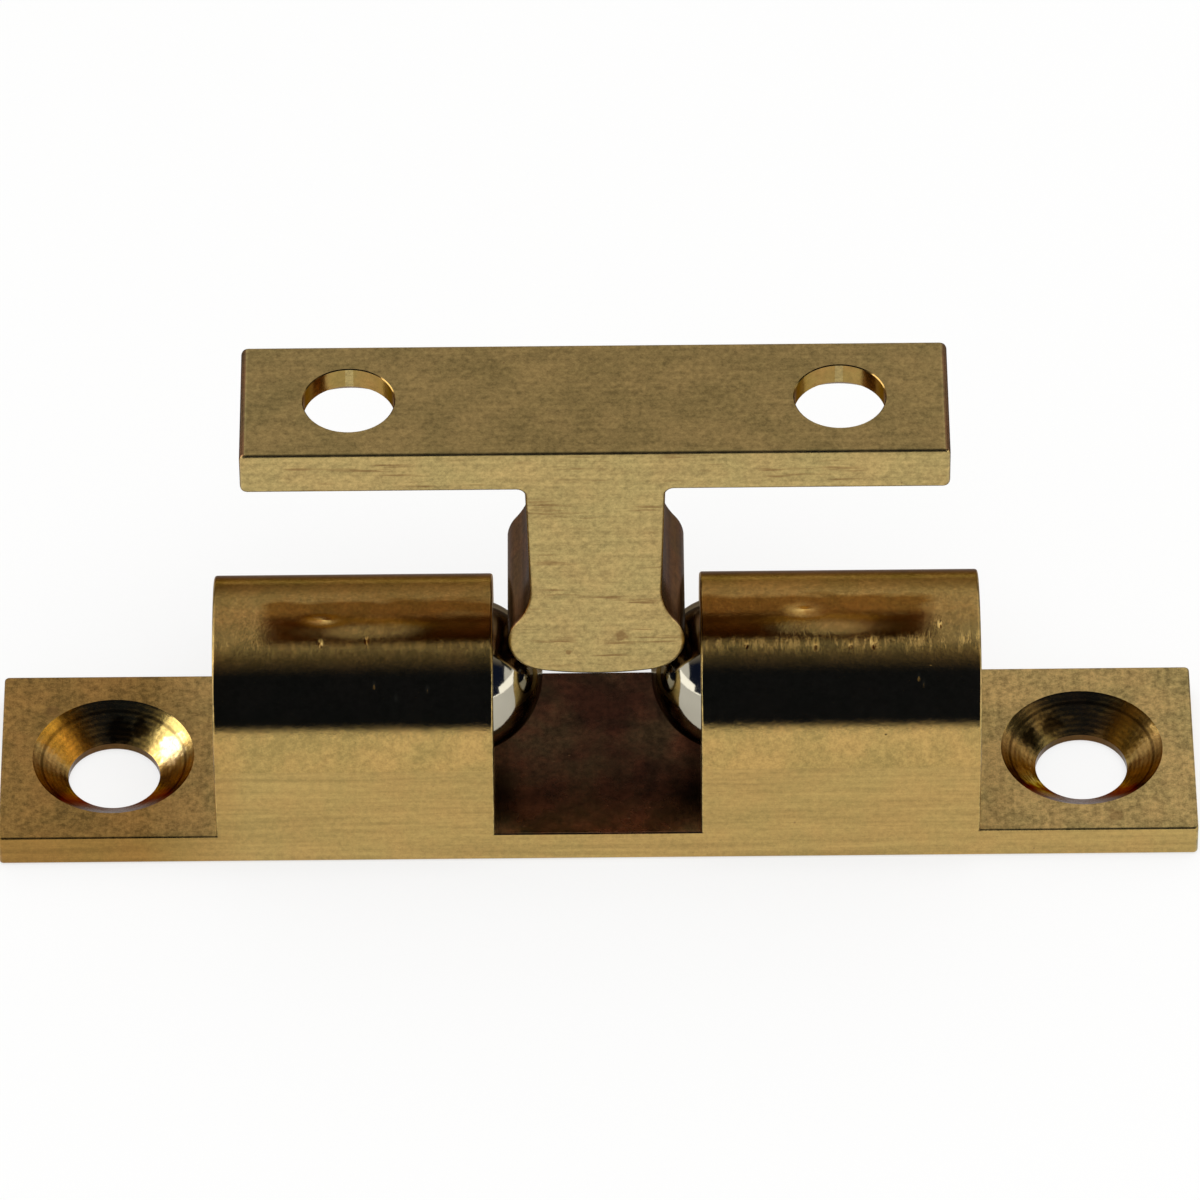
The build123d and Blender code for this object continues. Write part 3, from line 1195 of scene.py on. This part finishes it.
def slotted(bm):
    """Takes the slot's waste away, then closes its two walls and its bottom."""
    cut(bm, X * slot_bottom, X)
    for side in (-1, 1):
        cut(bm, Y * side * slot_half, Y)
    waste = [f for f in bm.faces if in_slot(f.calc_center_median())]
    bmesh.ops.delete(bm, geom=waste, context="FACES")
    for side in (-1, 1):
        bm.edges.new([v for v in bm.verts if v.is_boundary and on_bottom(v) and on_wall(v, side)])
    for side in (-1, 1):
        bmesh.ops.edgeloop_fill(bm, edges=gap_edges(bm, lambda vert: on_wall(vert, side)))
    bmesh.ops.edgeloop_fill(bm, edges=gap_edges(bm, on_bottom))
    return bm


screw_brass = brass("brass_screw_thread", 0.22, grain=0.2)
for side, name in ((1, "right"), (-1, "left")):
    rod = slotted(threaded_rod())
    if side < 0:
        half_turn(rod)
    screw = finished(f"adjusting_screw_{name}", rod, [screw_brass], f"adjuster_{name}")
    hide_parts(f"adjuster_{name}")

# %% [markdown]
# ## The studio
# Polished metal shows its surroundings more than itself. A product photographer hangs dark and pale
# cards round such a part, out of the picture, and their reflections draw its shape. Here a half
# tunnel of card stands over the part: black in front, pale overhead and brown low down behind, with
# a brown stretch in the middle. A soft box and two low strips of light brighten the rounded edges
# and the countersinks, and a dark card keeps the right side calmer. Only glossy rays see all this.
# The floor and the world are white to the camera.

# %% Stage tools
hidden_from = ("camera", "diffuse", "shadow", "transmission", "volume_scatter")


def stage_material(name, build):
    """A material whose nodes are put in by a function."""
    material = bpy.data.materials.new(name)
    material.use_nodes = True
    material.node_tree.nodes.clear()
    build(material.node_tree)
    return material


def staged(name, bm, material, only_in_reflections=True):
    """Puts a piece of studio furniture on the stage."""
    mesh = bpy.data.meshes.new(name)
    bm.to_mesh(mesh)
    bm.free()
    mesh.materials.append(material)
    furniture = bpy.data.objects.new(name, mesh)
    bpy.context.collection.objects.link(furniture)
    if only_in_reflections:
        for ray in hidden_from:
            setattr(furniture, f"visible_{ray}", False)


def sheet(width, depth):
    """A flat sheet that lies about the origin."""
    bm = bmesh.new()
    bmesh.ops.create_grid(bm, x_segments=1, y_segments=1, size=0.5)
    bmesh.ops.scale(bm, verts=bm.verts, vec=(width, depth, 1))
    return bm


def glowing(tree, colour, strength=1.0):
    """Makes a surface shine by itself, so that it shows in reflections."""
    glow = add(tree, "ShaderNodeEmission", {"Color": colour, "Strength": strength})
    add(tree, "ShaderNodeOutputMaterial", {"Surface": glow.outputs["Emission"]})


print("cards are hidden from these rays:", ", ".join(hidden_from))

# %% Floor
def seen_directly(tree):
    """1 for rays from the camera, off a gloss or through glass, and 0 for soft light."""
    path = add(tree, "ShaderNodeLightPath")
    either = calc(tree, "MAXIMUM", path.outputs["Is Camera Ray"], path.outputs["Is Glossy Ray"])
    return calc(tree, "MAXIMUM", either, path.outputs["Is Transmission Ray"])


def paper(tree):
    """Pale paper that keeps a shadow, and lies close to white where none falls."""
    matt = add(tree, "ShaderNodeBsdfDiffuse", {"Color": (0.92, 0.92, 0.91, 1)}).outputs["BSDF"]
    glow = add(tree, "ShaderNodeEmission", {"Color": (1, 1, 1, 1), "Strength": 1.0})
    share = calc(tree, "MULTIPLY", seen_directly(tree), 0.65)
    both = add(tree, "ShaderNodeMixShader", {0: share, 1: matt, 2: glow.outputs["Emission"]})
    add(tree, "ShaderNodeOutputMaterial", {"Surface": both.outputs["Shader"]})


floor_side = 6.0
floor_drop = 0.02 * mm
floor = sheet(floor_side, floor_side)
bmesh.ops.translate(floor, verts=floor.verts, vec=-Z * floor_drop)
staged("floor", floor, stage_material("paper_floor", paper), only_in_reflections=False)
print("the floor lies", floor_drop / mm, "mm below the part")

# %% World
world = bpy.data.worlds.new("studio")
world.use_nodes = True
sky = world.node_tree
sky.nodes.clear()
soft = add(sky, "ShaderNodeBackground", {"Color": (1, 1, 1, 1), "Strength": 0.55})
white = add(sky, "ShaderNodeBackground", {"Color": (1, 1, 1, 1), "Strength": 1.0})
backgrounds = {0: seen_directly(sky), 1: soft.outputs["Background"], 2: white.outputs["Background"]}
seen_world = add(sky, "ShaderNodeMixShader", backgrounds)
add(sky, "ShaderNodeOutputWorld", {"Surface": seen_world.outputs["Shader"]})
bpy.context.scene.world = world
bpy.context.scene.view_settings.view_transform = "Standard"
print("the world's soft light is", round(soft.inputs["Strength"].default_value, 2))

# %% [markdown]
# The tunnel is a strip of card spun half round the part's long axis. Its colour comes from two ramps
# over the angle from the front: one for its whole length and one for the middle, where the round
# tops of the barrels reflect it. Separate cards could do the same, but every gap between two cards
# would show as a line on the polished arches.

# %% Card tunnel
tunnel_radius = 0.45
tunnel_length = 1.6
tunnel_start = math.radians(4.5)
tunnel_steps = 60
middle_half = 0.031
black_card = (0.0095, 0.0138, 0.036, 1)
card_tones = [
    (0, black_card), (62, black_card), (78, (0.30, 0.26, 0.20, 1)), (100, (0.80, 0.80, 0.82, 1)),
    (150, (0.80, 0.78, 0.78, 1)), (163, (0.30, 0.24, 0.20, 1)), (180, (0.20, 0.16, 0.16, 1)),
]
middle_tones = [
    (0, black_card), (63, black_card), (72, (0.018, 0.025, 0.05, 1)), (84, (0.07, 0.08, 0.09, 1)),
    (92, (0.24, 0.24, 0.24, 1)), (98, (0.25, 0.24, 0.22, 1)), (103, (0.19, 0.14, 0.11, 1)),
    (112, (0.24, 0.16, 0.12, 1)), (128, (0.36, 0.24, 0.17, 1)), (140, (0.40, 0.30, 0.23, 1)),
    (150, (0.46, 0.38, 0.31, 1)), (165, (0.48, 0.40, 0.33, 1)), (180, (0.35, 0.27, 0.22, 1)),
]


def toned(tree, share, tones):
    """A colour ramp from the front of the tunnel, at 0 degrees, to its back, at 180."""
    ramp = add(tree, "ShaderNodeValToRGB", {"Fac": share})
    for i, (angle, colour) in enumerate(tones):
        stop = ramp.color_ramp.elements[i] if i < 2 else ramp.color_ramp.elements.new(1.0)
        stop.position, stop.color = angle / 180, colour
    return ramp.outputs["Color"]


def card_glow(tree):
    """The tunnel's tones, with the brown stretch in the middle, darker on its left."""
    part = split(tree, add(tree, "ShaderNodeTexCoord").outputs["Object"])
    forwards = calc(tree, "MULTIPLY", part["Y"], -1.0)
    share = calc(tree, "DIVIDE", calc(tree, "ARCTAN2", part["Z"], forwards), math.pi)
    to_right = remap(tree, part["X"], -middle_half, middle_half, 0.62, 1.38)
    middle = dimmed(tree, toned(tree, share, middle_tones), to_right)
    out = calc(tree, "ABSOLUTE", part["X"])
    in_middle = remap(tree, out, middle_half * 1.1, middle_half * 0.9)
    glowing(tree, mixed(tree, in_middle, toned(tree, share, card_tones), middle))


tunnel = bmesh.new()
tunnel_edge = Vector((0, -math.cos(tunnel_start), math.sin(tunnel_start))) * tunnel_radius
ends = [tunnel.verts.new(tunnel_edge + X * side * tunnel_length / 2) for side in (-1, 1)]
bmesh.ops.spin(
    tunnel, geom=ends + [tunnel.edges.new(ends)], cent=(0, 0, 0), axis=X,
    angle=tunnel_start - math.pi, steps=tunnel_steps,
)
print("the tunnel has", len(tunnel.faces), "strips of card")
staged("card_tunnel", tunnel, stage_material("card_tunnel", card_glow))

# %% Soft boxes and small cards
def card(name, bm, colour, strength=1.0):
    """Puts a sheet on the stage as a card that shines by itself."""
    staged(name, bm, stage_material(name, lambda tree: glowing(tree, (*colour, 1), strength)))


def upright(centre, width, height):
    """A sheet that stands at this place and faces the part."""
    bm = sheet(width, height)
    facing = Vector(centre).to_track_quat("-Z", "Y").to_matrix().to_4x4()
    bmesh.ops.transform(bm, matrix=Matrix.Translation(centre) @ facing, verts=bm.verts)
    return bm


card("soft_box_left", upright((-0.60, 0.14, 0.30), 0.40, 0.44), (1, 1, 1), 3.5)
card("dark_card_right", upright((0.60, 0.14, 0.38), 0.60, 0.40), (0.03, 0.03, 0.025))
card("low_strip_left", upright((-0.62, -0.22, 0.08), 0.80, 0.13), (1, 1, 1), 2.2)
card("low_strip_right", upright((0.62, -0.22, 0.08), 0.80, 0.13), (1, 1, 1), 2.2)

brown_depth, brown_middle, brown_lift = 0.10, 0.0565, 0.00005
lying = sheet(0.30, brown_depth)
bmesh.ops.translate(lying, verts=lying.verts, vec=(0, brown_middle, brown_lift))
card("brown_card_behind", lying, (0.42, 0.35, 0.29))
print("the brown card lies", round((brown_middle - brown_depth / 2) / mm, 1), "mm behind the middle")

# %% [markdown]
# The lamp overhead lights the dull faces and throws the soft shadow on the floor. Reflections don't
# show it, because its square would be the brightest thing on the polished arches.

# %% Soft lamp
lamp = bpy.data.objects.new("soft_lamp", bpy.data.lights.new("soft_lamp", "AREA"))
lamp.data.shape = "SQUARE"
lamp.data.size = 0.7
lamp.data.energy = 4.5
lamp.location = (0.1, -0.15, 0.8)
lamp.rotation_mode = "QUATERNION"
lamp.rotation_quaternion = (-Vector(lamp.location)).to_track_quat("-Z", "Y")
lamp.visible_glossy = False
bpy.context.collection.objects.link(lamp)
print("lamp", lamp.data.energy, "W")
